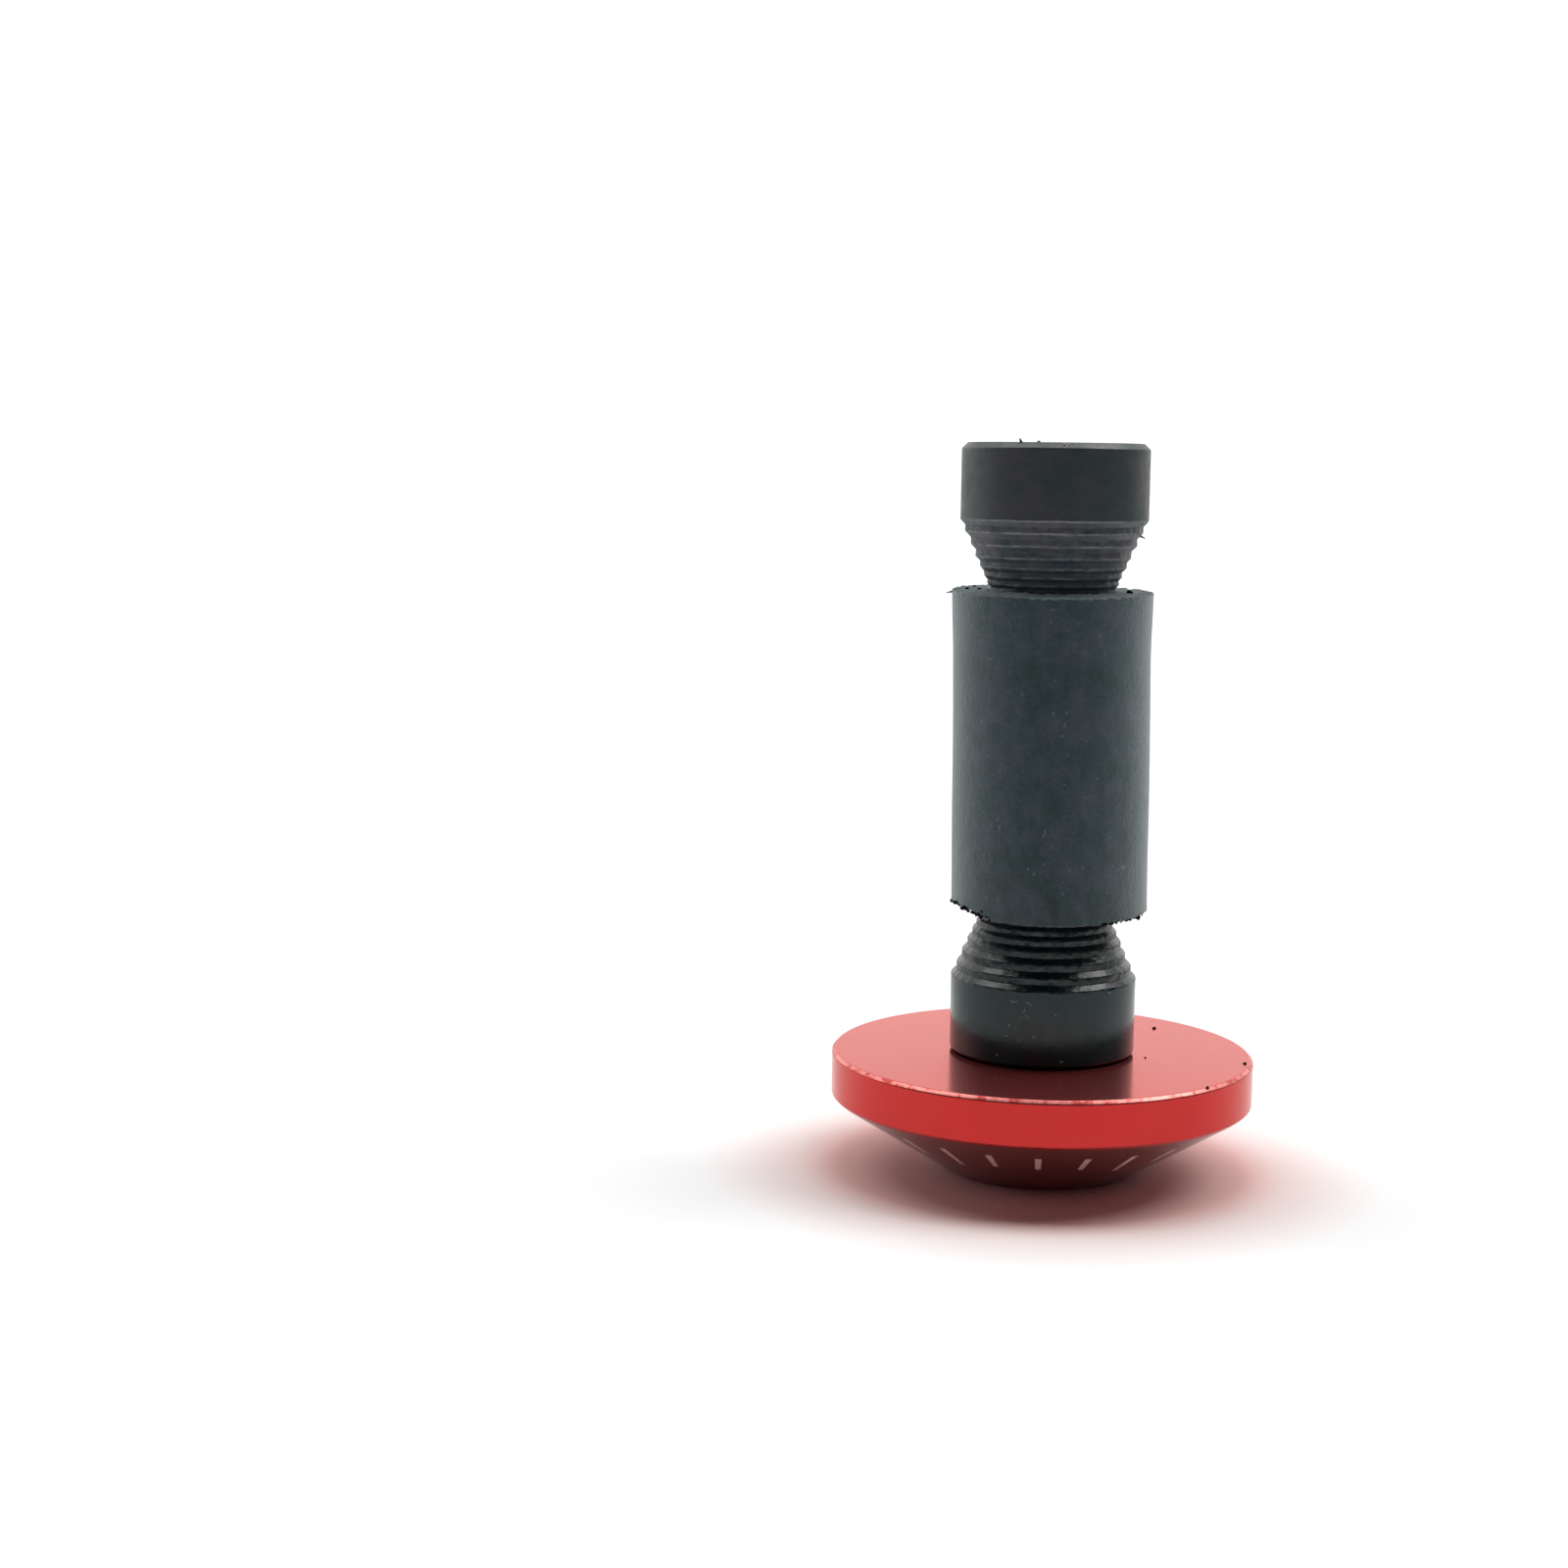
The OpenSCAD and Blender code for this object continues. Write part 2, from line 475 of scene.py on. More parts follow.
def add_node(owner, kind, **settings):
    """Adds a node and sets its properties, or its input sockets where it has no such property."""
    node = owner.node_tree.nodes.new(kind)
    for key, value in settings.items():
        if hasattr(node, key):
            setattr(node, key, value)
        else:
            node.inputs[key.replace("_", " ")].default_value = value
    return node


def wire(owner, source, output, target, socket):
    owner.node_tree.links.new(source.outputs[output], target.inputs[socket])


def position_mm(mat):
    """Position on the piece in millimetres."""
    where = add_node(mat, "ShaderNodeTexCoord")
    grow = add_node(mat, "ShaderNodeMapping")
    grow.inputs["Scale"].default_value = [1 / MM] * 3
    wire(mat, where, "Object", grow, "Vector")
    return grow


def grain(mat, place, scale, detail=4, rough=0.6):
    """Noise with a number of lumps for each millimetre."""
    tex = add_node(mat, "ShaderNodeTexNoise", Scale=scale, Detail=detail, Roughness=rough)
    wire(mat, place, "Vector", tex, "Vector")
    return tex


def ramp(mat, source, output, stops):
    """Colour ramp with stops of (place, colour)."""
    node = add_node(mat, "ShaderNodeValToRGB")
    while len(node.color_ramp.elements) < len(stops):
        node.color_ramp.elements.new(0.5)
    for element, (place, colour) in zip(node.color_ramp.elements, stops):
        element.position = place
        element.color = (*colour, 1)
    wire(mat, source, output, node, "Fac")
    return node


def to_range(owner, source, output, low, high, from_low=0.3, from_high=0.7):
    """Moves a value from one range to another; the first is where noise mostly lies."""
    node = add_node(owner, "ShaderNodeMapRange")
    node.inputs["From Min"].default_value = from_low
    node.inputs["From Max"].default_value = from_high
    node.inputs["To Min"].default_value = low
    node.inputs["To Max"].default_value = high
    wire(owner, source, output, node, "Value")
    return node


def product(owner, first, first_output, second, second_output):
    node = add_node(owner, "ShaderNodeMath", operation="MULTIPLY")
    wire(owner, first, first_output, node, 0)
    wire(owner, second, second_output, node, 1)
    return node


def bump(mat, source, output, height_mm, before=None):
    """Bump of a height in millimetres, on top of an earlier one."""
    node = add_node(mat, "ShaderNodeBump", Strength=1.0, Distance=height_mm * MM)
    wire(mat, source, output, node, "Height")
    if before:
        wire(mat, before, "Normal", node, "Normal")
    return node


def turned_rings(mat, per_mm):
    """Noise that runs in rings round the Z axis, as a lathe tool leaves it."""
    where = position_mm(mat)
    split = add_node(mat, "ShaderNodeSeparateXYZ")
    wire(mat, where, "Vector", split, "Vector")
    flat = add_node(mat, "ShaderNodeCombineXYZ")
    wire(mat, split, "X", flat, "X")
    wire(mat, split, "Y", flat, "Y")
    radius = add_node(mat, "ShaderNodeVectorMath", operation="LENGTH")
    wire(mat, flat, "Vector", radius, 0)
    line = add_node(mat, "ShaderNodeCombineXYZ")
    wire(mat, radius, "Value", line, "X")
    wire(mat, split, "Z", line, "Y")
    return grain(mat, line, per_mm, detail=3, rough=0.7)


def aim_gloss_across_rings(mat):
    """Stretches the highlights square to the rings, so they open into fans."""
    tangent = add_node(mat, "ShaderNodeTangent", direction_type="RADIAL", axis="Z")
    wire(mat, tangent, "Tangent", shader_of(mat), "Tangent")


def ridge_wear_and_highlight(mat, place):
    """Mask along the corners of the ribs, broken up by noise: partly worn ridges, partly painted
    highlight.
    """
    ridge = add_node(mat, "ShaderNodeAttribute", attribute_name="ridge")
    gaps = grain(mat, place, scale=0.9, detail=6, rough=0.75)
    broken = to_range(mat, gaps, "Fac", 0.15, 1.0, from_low=0.40, from_high=0.60)
    return product(mat, ridge, "Fac", broken, "Result")


# Materials

def anodised_red(name, dark, light):
    """Glossy anodised aluminium, blotched between two reds and turned in fine rings."""
    mat = material(name, Metallic=0.84, Anisotropic=0.3, Anisotropic_Rotation=0.25,
                   Specular_Tint=(1.0, 0.80, 0.76, 1), Coat_Weight=0.45, Coat_Roughness=0.6)
    shader = shader_of(mat)
    aim_gloss_across_rings(mat)
    rings = turned_rings(mat, per_mm=5.0)
    blotches = grain(mat, position_mm(mat), scale=0.12)
    colour = ramp(mat, blotches, "Fac", [(0.3, dark), (0.7, light)])
    wire(mat, colour, "Color", shader, "Base Color")
    wire(mat, to_range(mat, rings, "Fac", 0.13, 0.19), "Result", shader, "Roughness")
    wire(mat, bump(mat, rings, "Fac", height_mm=0.0012), "Normal", shader, "Normal")
    return mat


def laser_mark():
    """Pale, grainy surface of the marks."""
    mat = material("laser_mark", Metallic=0.3, Roughness=0.5)
    specks = grain(mat, position_mm(mat), scale=6.0)
    colour = ramp(mat, specks, "Fac", [(0.35, (0.85, 0.44, 0.42)), (0.65, (1.0, 0.68, 0.64))])
    wire(mat, colour, "Color", shader_of(mat), "Base Color")
    return mat


def rim_wear_and_highlight():
    """Paler red of the cap's rim: partly anodising worn thin, partly a painted highlight along the edge.
    """
    mat = material("rim_wear_and_highlight", Metallic=0.85, Roughness=0.4)
    patches = grain(mat, position_mm(mat), scale=1.2, detail=5)
    colour = ramp(mat, patches, "Fac", [(0.40, (0.58, 0.07, 0.06)), (0.54, (0.90, 0.30, 0.27))])
    wire(mat, colour, "Color", shader_of(mat), "Base Color")
    return mat


def zinc_steel():
    """Bright plated steel with faint stains."""
    mat = material("zinc_steel", Metallic=1.0)
    shader = shader_of(mat)
    place = position_mm(mat)
    stains = grain(mat, place, scale=0.5)
    colour = ramp(mat, stains, "Fac", [(0.3, (0.50, 0.52, 0.50)), (0.7, (0.68, 0.69, 0.67))])
    wire(mat, colour, "Color", shader, "Base Color")
    fine = grain(mat, place, scale=4.0)
    wire(mat, to_range(mat, fine, "Fac", 0.18, 0.34), "Result", shader, "Roughness")
    wire(mat, bump(mat, fine, "Fac", height_mm=0.006), "Normal", shader, "Normal")
    return mat


def black_plastic(name, colours, rough, grain_mm, shine, worn=None):
    """Black plastic, blotched and finely grained; worn is the paler colour of its ribs' ridges, partly
    wear and partly painted highlight.
    """
    mat = material(name, IOR=1.5, Specular_IOR_Level=shine)
    shader = shader_of(mat)
    place = position_mm(mat)
    broad = grain(mat, place, scale=0.35, detail=5)
    colour = ramp(mat, broad, "Fac", list(zip((0.38, 0.5, 0.62), colours)))
    if worn:
        # Painted highlight, with wear: the paler colour along the rib corners
        mix = add_node(mat, "ShaderNodeMix", data_type="RGBA")
        wire(mat, ridge_wear_and_highlight(mat, place), "Value", mix, "Factor")
        wire(mat, colour, "Color", mix, MIX_A)
        mix.inputs[MIX_B].default_value = (*worn, 1)
        wire(mat, mix, MIX_RESULT, shader, "Base Color")
    else:
        wire(mat, colour, "Color", shader, "Base Color")
    smears = grain(mat, place, scale=0.9, detail=5, rough=0.65)
    wire(mat, to_range(mat, smears, "Fac", *rough), "Result", shader, "Roughness")
    rings = bump(mat, turned_rings(mat, per_mm=3.0), "Fac", grain_mm * 0.5)
    fine = grain(mat, place, scale=2.2)
    wire(mat, bump(mat, fine, "Fac", grain_mm, rings), "Normal", shader, "Normal")
    return mat


def black_rubber():
    """Cut rubber tube: blotchy, finely rough, with a haze at its edges and specks of dust."""
    mat = material("black_rubber", IOR=1.5, Sheen_Weight=1.0, Sheen_Roughness=0.45,
                   Sheen_Tint=(0.88, 1.0, 1.0, 1))
    shader = shader_of(mat)
    place = position_mm(mat)
    broad = grain(mat, place, scale=0.28, detail=7, rough=0.8)
    colour = ramp(mat, broad, "Fac", [
        (0.36, (0.010, 0.041, 0.046)),
        (0.50, (0.031, 0.070, 0.080)),
        (0.62, (0.066, 0.085, 0.110)),
    ])
    lumps = grain(mat, place, scale=1.1, detail=6, rough=0.7)
    mottle = to_range(mat, lumps, "Fac", 0.84, 1.16, from_low=0.38, from_high=0.62)
    uneven = add_node(mat, "ShaderNodeVectorMath", operation="SCALE")
    wire(mat, colour, "Color", uneven, "Vector")
    wire(mat, mottle, "Result", uneven, "Scale")
    dust = grain(mat, place, scale=2.1, detail=2, rough=0.4)
    pick = to_range(mat, dust, "Fac", 0.0, 0.8, from_low=0.70, from_high=0.76)
    mix = add_node(mat, "ShaderNodeMix", data_type="RGBA")
    wire(mat, pick, "Result", mix, "Factor")
    wire(mat, uneven, "Vector", mix, MIX_A)
    mix.inputs[MIX_B].default_value = (0.17, 0.21, 0.23, 1)
    wire(mat, mix, MIX_RESULT, shader, "Base Color")
    fine = grain(mat, place, scale=2.6, detail=6, rough=0.75)
    wire(mat, to_range(mat, fine, "Fac", 0.38, 0.64), "Result", shader, "Roughness")
    wire(mat, bump(mat, fine, "Fac", height_mm=0.08), "Normal", shader, "Normal")
    return mat


def pale_dust():
    return material("pale_dust", Base_Color=(0.55, 0.55, 0.52, 1), Roughness=0.9)


# Near-black: real dark specks, crumbs and chips, and painted shade along the front cone's foot
def near_black_grime_and_shade():
    return material("near_black_grime_and_shade", Base_Color=(0.002, 0.002, 0.002, 1), Roughness=0.8,
                    Specular_IOR_Level=0.1)


def pale_scuff():
    return material("pale_scuff", Base_Color=(0.20, 0.31, 0.30, 1), Roughness=0.6)


# Turned cap

def face_z(r):
    """Height of the cap's sloping face at a radius."""
    share = (r - NOSE_R) / (CAP_R - RIM_BEVEL - NOSE_R)
    return NOSE_BEVEL / 2 + share * (FACE_H - RIM_BEVEL / 2 - NOSE_BEVEL / 2)


def on_mark(r, angle):
    """Whether a place on the sloping face is inside one of the plain radial bars."""
    degrees = math.degrees(angle) % 360
    nearest = round(degrees / MARK_STEP) * MARK_STEP
    inner = MARK_LONG_R if nearest % MARK_LONG_STEP == 0 else MARK_INNER_R
    return abs(degrees - nearest) < MARK_HALF_ANGLE and inner < r < MARK_OUTER_R


def make_cap(metal, mark, dirt, rim, shaded_slope):
    """Turned cap with a counterbored hole, radial bars on its face and specks on its back."""
    outline = rounded([
        (HOLE_R, HEAD_SEAT_Z, FINE),
        (COUNTERBORE_R, HEAD_SEAT_Z, SEAT_FILLET),
        (COUNTERBORE_R, MOUTH_BEVEL, KEEN),
        (COUNTERBORE_R + MOUTH_BEVEL, 0, KEEN),
        (NOSE_R - NOSE_BEVEL, 0, SOFT),
        (NOSE_R, NOSE_BEVEL / 2, SOFT),
        (MARK_LONG_R, face_z(MARK_LONG_R), 0),
        (MARK_INNER_R, face_z(MARK_INNER_R), 0),
        (MARK_OUTER_R, face_z(MARK_OUTER_R), 0),
        (CAP_R - RIM_BEVEL, FACE_H - RIM_BEVEL / 2, EASED),
        (CAP_R, FACE_H + RIM_BEVEL / 2, EASED),
        (CAP_R, CAP_H - RIM_BEVEL, SOFT),
        (CAP_R - RIM_BEVEL, CAP_H, SOFT),
        (HOLE_R, CAP_H, FINE),
    ])
    cap = lathe("turned_cap", divided(outline, longest=1.2 * MM), sides=360)
    add_materials(cap, metal, mark, dirt, rim, shaded_slope)
    mark_slot, dirt_slot, rim_slot, shaded_slope_slot = range(1, 5)
    for face in cap.data.polygons:
        x, y, z = face.center
        r = math.hypot(x, y)
        # Sloping face: painted shade, a darker copy of the red where it faces the shadowed floor
        if NOSE_R < r < CAP_R - RIM_BEVEL and z < FACE_H:
            face.material_index = mark_slot if on_mark(r, math.atan2(y, x)) else shaded_slope_slot
        # Rim bevel: paler red, partly wear and partly painted highlight
        elif r > CAP_R - RIM_BEVEL and z > CAP_H - RIM_BEVEL:
            face.material_index = rim_slot
    add_blobs(cap, spots(CAP_SPECKS, CAP_H - SPECK_SINK), dirt_slot)
    return cap


# Cap screw

def thread_cut(z, angle, low, high):
    """Depth of a right-hand thread at a height and an angle, faded out at its two ends."""
    turn = (z / THREAD_PITCH - angle / TAU) % 1.0
    tooth = min(1.0, max(0.0, abs(turn - 0.5) * THREAD_FLANK - THREAD_CREST))
    start = smoothstep((z - low) / THREAD_PITCH)
    end = smoothstep((high - z) / THREAD_FADE + THREAD_FADE_PAST)
    return THREAD_DEPTH * tooth * (start * end)


def make_screw(steel):
    """Socket head screw, head down, with its hexagon socket and the thread at its far end."""
    thread_from = SCREW_TOP - THREAD_LEN
    outline = rounded([
        (0, HEAD_Z, 0),
        (HEAD_R, HEAD_Z, HEAD_ROUND),
        (HEAD_R, HEAD_SEAT_Z, SOFT),
        (SCREW_R, HEAD_SEAT_Z, FINE),
        (SCREW_R, thread_from, 0),
    ])
    rows = round(THREAD_LEN / SCREW_ROW)
    for k in range(1, rows + 1):
        outline.append(Vector((SCREW_R, thread_from + THREAD_LEN * k / rows)))
    outline += [Vector((TIP_ROW_R, SCREW_TOP)), Vector((0, SCREW_TOP))]

    def shape(r, z, angle):
        if z <= thread_from or r < SCREW_R / 2:
            return r, z
        bevel_r = SCREW_R - max(0.0, z - (SCREW_TOP - TIP_BEVEL)) / 2
        return min(SCREW_R - thread_cut(z, angle, thread_from, SCREW_TOP), bevel_r), z

    screw = lathe("socket_screw", outline, sides=96, shape=shape, closed=False)
    corner_r = HEX_FLATS / 2 / math.cos(HEX_HALF_ANGLE)
    hexagon = lathe("hex_cutter", [
        (0, HEAD_Z - HEX_OUT),
        (corner_r, HEAD_Z - HEX_OUT),
        (corner_r, HEAD_Z + HEX_DEPTH),
        (0, HEAD_Z + HEX_DEPTH),
    ], sides=6, closed=False)
    lead_r = HEX_FLATS / 2 + HEX_LEAD_W
    rise = math.tan(LEAD_ANGLE)
    lead_top = HEAD_Z + (lead_r - LEAD_TIP_R) * rise
    lead = lathe("lead_cutter", [
        (0, HEAD_Z - LEAD_OUT),
        (lead_r + LEAD_OUT / rise, HEAD_Z - LEAD_OUT),
        (LEAD_TIP_R, lead_top),
        (0, lead_top),
    ], sides=96, closed=False)
    cut_with(screw, [hexagon, lead])
    screw.data.materials.clear()
    add_materials(screw, steel)
    settle(screw, sharp=28)
    return screw


# Ribbed cones

def rib_corners():
    """Outer corners of the ribs as (radius, height above the shoulder), from the shoulder to the tip."""
    corners = []
    rise = 0.0
    for spacing in RIB_SPACING:
        corners.append((CONE_R - rise * math.tan(TAPER_ANGLE), rise))
        rise += spacing * RIB_PITCH
    corners.append((CONE_R - TAPER_LEN * math.tan(TAPER_ANGLE), TAPER_LEN))
    return corners


def cone_outline(straight, end_cut, bore_r):
    """Closed outline of an expander cone whose shoulder is at height 0 and whose tip points up."""
    outline = [
        (bore_r, TAPER_LEN, EASED),
        (bore_r, -straight, BORE_LEAD_IN),
        (CONE_R - end_cut, -straight, EASED),
        (CONE_R, end_cut - straight, SOFT),
    ]
    corners = rib_corners()
    for (r, s), (inner, _) in zip(corners, corners[1:]):
        outline.append((r, s, RIB_CUT))
        outline.append((inner, s + (r - inner) / math.tan(LEDGE_ANGLE), RIB_FILLET))
    outline.append((*corners[-1], FINE))
    return rounded(outline)


def on_ribs(s, r):
    """Whether a place on a cone, at a height above its shoulder, is on the outside of the ribs."""
    return s > -RIB_CUT and r > TIP_R - RIB_FILLET


def wear(s, r, angle, seed, amount):
    """Unevenness of moulded ribs: long soft waves and short torn spots."""
    if not on_ribs(s, r):
        return 0.0
    way = outwards(angle)
    wave = noise.noise(way * WAVES_PER_RADIAN + Vector((seed, 0, s / WAVE_H)))
    spot = noise.fractal(way * SPOTS_PER_RADIAN + Vector((0, seed, s / SPOT_H)), *SPOT_NOISE)
    return amount * (WAVE_SHARE * wave + SPOT_SHARE * spot)


def mark_ridges(cone, shoulder_z, direction):
    """Stores how near each point lies to a rib's outer corner, from 0 to 1."""
    corners = [Vector(c) for c in rib_corners()[:-1]]
    ridge = cone.data.attributes.new("ridge", "FLOAT", "POINT")
    for v, value in zip(cone.data.vertices, ridge.data):
        place = Vector((math.hypot(v.co.x, v.co.y), (v.co.z - shoulder_z) * direction))
        gap = min((place - c).length for c in corners)
        value.value = smoothstep(RIDGE_END - gap / RIDGE_W)


def make_front_cone(smooth, worn, scuff, grime_and_shade):
    """Cone that stands on the cap: worn ribs, scuffs and painted shade as a dark line at its foot."""
    outline = divided(cone_outline(FRONT_STRAIGHT, FOOT_BEVEL, HOLE_R), longest=0.3 * MM)

    def shape(r, s, angle):
        return r + wear(s, r, angle, seed=3.0, amount=FRONT_WEAR), FRONT_TAPER_Z + s

    cone = lathe("front_ribbed_cone", outline, sides=288, shape=shape)
    add_materials(cone, smooth, worn, scuff, grime_and_shade)
    worn_slot, scuff_slot, painted_shade_slot = range(1, 4)
    for face in cone.data.polygons:
        x, y, z = face.center
        if on_ribs(z - FRONT_TAPER_Z, math.hypot(x, y)):
            face.material_index = worn_slot
        # Painted shade: the foot's bevel, where the cone meets the cap, gets the near-black material
        elif z < CAP_H + FOOT_BEVEL:
            face.material_index = painted_shade_slot
    for turn, height, lean, length in SCUFFS:
        root = around(CONE_R - SCUFF_SINK, turn, height * MM)
        along = Vector((-math.sin(math.radians(turn)), math.cos(math.radians(turn)), 0))
        way = along * math.cos(math.radians(lean)) + Vector((0, 0, math.sin(math.radians(lean))))
        add_burr(cone, root, way, length * MM, SCUFF_THICK, scuff_slot)
    mark_ridges(cone, FRONT_TAPER_Z, direction=1)
    return cone


def with_bore_rows(outline):
    """The same outline with rows of points along the rear cone's bore, for its thread."""
    out = []
    for i, p in enumerate(outline):
        follower = outline[(i + 1) % len(outline)]
        out.append(p)
        if p.x < BORE_ROWS_R and follower.x < BORE_ROWS_R:
            parts = max(1, round((follower - p).length / BORE_ROW))
            out += [p.lerp(follower, k / parts) for k in range(1, parts)]
    return out


def make_rear_cone(smooth, worn, dust):
    """Cone at the far end, turned over: worn ribs, a threaded bore, burrs and a little dust."""
    outline = divided(cone_outline(REAR_STRAIGHT, END_BEVEL, REAR_BORE_R), longest=0.6 * MM)

    def shape(r, s, angle):
        z = REAR_TAPER_Z - s
        if r < REAR_BORE_R + BORE_WALL:
            cut = thread_cut(z, angle, REAR_TAPER_Z - TAPER_LEN, REAR_END_Z)
            return r + BORE_THREAD_SHARE * cut, z
        return r + wear(s, r, angle, seed=11.0, amount=REAR_WEAR), z

    cone = lathe("rear_ribbed_cone", with_bore_rows(outline), sides=256, shape=shape)
    add_materials(cone, smooth, dust, worn)
    dust_slot, worn_slot = range(1, 3)
    for face in cone.data.polygons:
        x, y, z = face.center
        if on_ribs(REAR_TAPER_Z - z, math.hypot(x, y)):
            face.material_index = worn_slot
    add_burrs(cone, REAR_BURRS, CONE_R, REAR_END_Z)
    add_blobs(cone, spots(REAR_DUST, REAR_END_Z - DUST_BELOW), dust_slot)
    add_blobs(cone, spots(REAR_LUMP, REAR_END_Z - LUMP_BELOW))
    mark_ridges(cone, REAR_TAPER_Z, direction=-1)
    return cone


# Rubber sleeve

def ragged(angle, seed, lumps):
    """Roughness of a cut edge round the axis, from about -1 to 1."""
    return noise.fractal(outwards(angle) * lumps + Vector((0, 0, seed)), *EDGE_NOISE)


def near(angle, degrees, width):
    """1 at a given direction round the axis and 0 beyond its half width."""
    off = (math.degrees(angle) - degrees + 180) % 360 - 180
    return smoothstep(1 - abs(off) / width)


def end_height(angle, stretches):
    """Height in millimetres of a cut end at an angle, from its raised and lowered stretches."""
    return sum(height * near(angle, turn, width) for height, turn, width in stretches)


def sleeve_shape(r, z, angle):
    """Place of a point of the rubber tube, once it is wavy, flared and ragged at its ends."""
    outside = smoothstep((r - SLEEVE_MOUTH_R) / (SLEEVE_R - SLEEVE_MOUTH_R))
    upper = smoothstep((z - SLEEVE_Z1 + END_REACH) / END_REACH)
    lower = smoothstep((SLEEVE_Z0 + END_REACH - z) / END_REACH)
    way = outwards(angle) * SLEEVE_WAVES_PER_RADIAN + Vector((0, 0, z / SLEEVE_WAVE_LEN))
    wave = SLEEVE_WAVE * noise.noise(way)
    flare = SLEEVE_FLARE * smoothstep((z - SLEEVE_Z1 + FLARE_LEN) / FLARE_LEN)
    rough = (upper + lower) * RAGGED * MM * ragged(angle, seed=4.0, lumps=22)
    place = Vector((r * math.cos(angle), r * math.sin(angle), PIT_PLANE))
    pits = noise.fractal(place / PIT_SIZE, *PIT_NOISE)
    top = end_height(angle, UPPER_CUT) + RAGGED * ragged(angle, seed=1.0, lumps=14)
    tear = RAGGED + TORN_MORE * near(angle, *TORN_LEFT)
    hang = end_height(angle, LOWER_CUT) + tear * ragged(angle, seed=7.0, lumps=26)
    lift = upper * (top * outside + UPPER_PITS * pits) + lower * (hang * outside + LOWER_PITS * pits)
    return r + outside * (wave + flare + rough), z + lift * MM


def on_low_edge(x, y, z, first, last, top):
    """Whether a point of the sleeve is on its lower outer edge, between two angles and up to a height."""
    turn = math.degrees(math.atan2(y, x)) % 360
    outside = math.hypot(x - SLEEVE_LEAN, y) > SLEEVE_R - EDGE_W
    return first < turn < last and outside and z < SLEEVE_Z0 + top * MM


def torn_crumbs(sleeve):
    """Blobs on the torn stretches of the sleeve's lower edge, drawn from its own points."""
    draw = random.Random(5)
    crumbs = []
    for spread, sizes, count in TORN_EDGES:
        edge = [v.co for v in sleeve.data.vertices if on_low_edge(*v.co, *spread)]
        for place in draw.sample(edge, count):
            size = draw.uniform(*sizes) * MM
            crumbs.append((*(place - Vector((0, 0, size * CRUMB_HANG))), size))
    return crumbs


def make_sleeve(rubber, dirt):
    """Cut rubber tube with ragged ends, a torn nib, dark crumbs and chips."""
    outline = rounded([
        (SLEEVE_MOUTH_R, SLEEVE_Z0, BLUNT),
        (SLEEVE_R, SLEEVE_Z0, SOFT),
        (SLEEVE_R, SLEEVE_Z1, BLUNT),
        (SLEEVE_MOUTH_R, SLEEVE_Z1, BLUNT),
    ])
    sleeve = lathe("rubber_tube", divided(outline, longest=0.3 * MM), sides=320, shape=sleeve_shape)
    for v in sleeve.data.vertices:
        v.co.x += SLEEVE_LEAN * (SLEEVE_Z1 - v.co.z) / (SLEEVE_Z1 - SLEEVE_Z0)
    add_materials(sleeve, rubber, dirt)
    add_burrs(sleeve, SLEEVE_BURRS, SLEEVE_R, SLEEVE_Z1)
    add_blobs(sleeve, torn_crumbs(sleeve) + spots(TOP_CHIPS, SLEEVE_Z1 - CHIP_SINK), slot=1)
    return sleeve


# Stage, light and camera

def make_stage():
    """White floor that keeps the part's shadow, with painted red shade round the cap that only the camera
    sees; far off it reflects less.
    """
    mesh = bpy.data.meshes.new("floor")
    corners = [(FLOOR_HALF * x, FLOOR_HALF * y, 0) for x, y in ((-1, -1), (1, -1), (1, 1), (-1, 1))]
    mesh.from_pydata(corners, [], [(0, 1, 2, 3)])
    floor = bpy.data.objects.new("floor", mesh)
    bpy.context.scene.collection.objects.link(floor)
    mat = bpy.data.materials.new("floor_white")
    mat.use_nodes = True
    mat.node_tree.nodes.clear()
    out = add_node(mat, "ShaderNodeOutputMaterial")
    matte = add_node(mat, "ShaderNodeBsdfDiffuse")
    path = add_node(mat, "ShaderNodeLightPath")
    bounced = to_range(mat, path, "Is Glossy Ray", FLOOR_WHITE, FLOOR_MIRRORED, from_low=0, from_high=1)
    distance = add_node(mat, "ShaderNodeVectorMath", operation="LENGTH")
    wire(mat, position_mm(mat), "Vector", distance, 0)
    fade = to_range(mat, distance, "Value", 1.0, FLOOR_FAR, *FLOOR_FADE)
    level = product(mat, bounced, "Result", fade, "Result")
    # Painted shade: to the camera the floor is reddened and darkened round the cap
    reach = to_range(mat, distance, "Value", 0.0, 1.0, *PAINTED_SHADE_REACH)
    painted_floor_shade = ramp(mat, reach, "Result", PAINTED_RED_SHADE)
    shown = add_node(mat, "ShaderNodeMix", data_type="RGBA")
    wire(mat, path, "Is Camera Ray", shown, "Factor")
    wire(mat, level, "Value", shown, MIX_A)
    wire(mat, painted_floor_shade, "Color", shown, MIX_B)
    wire(mat, shown, MIX_RESULT, matte, "Color")
    wire(mat, matte, "BSDF", out, "Surface")
    mesh.materials.append(mat)


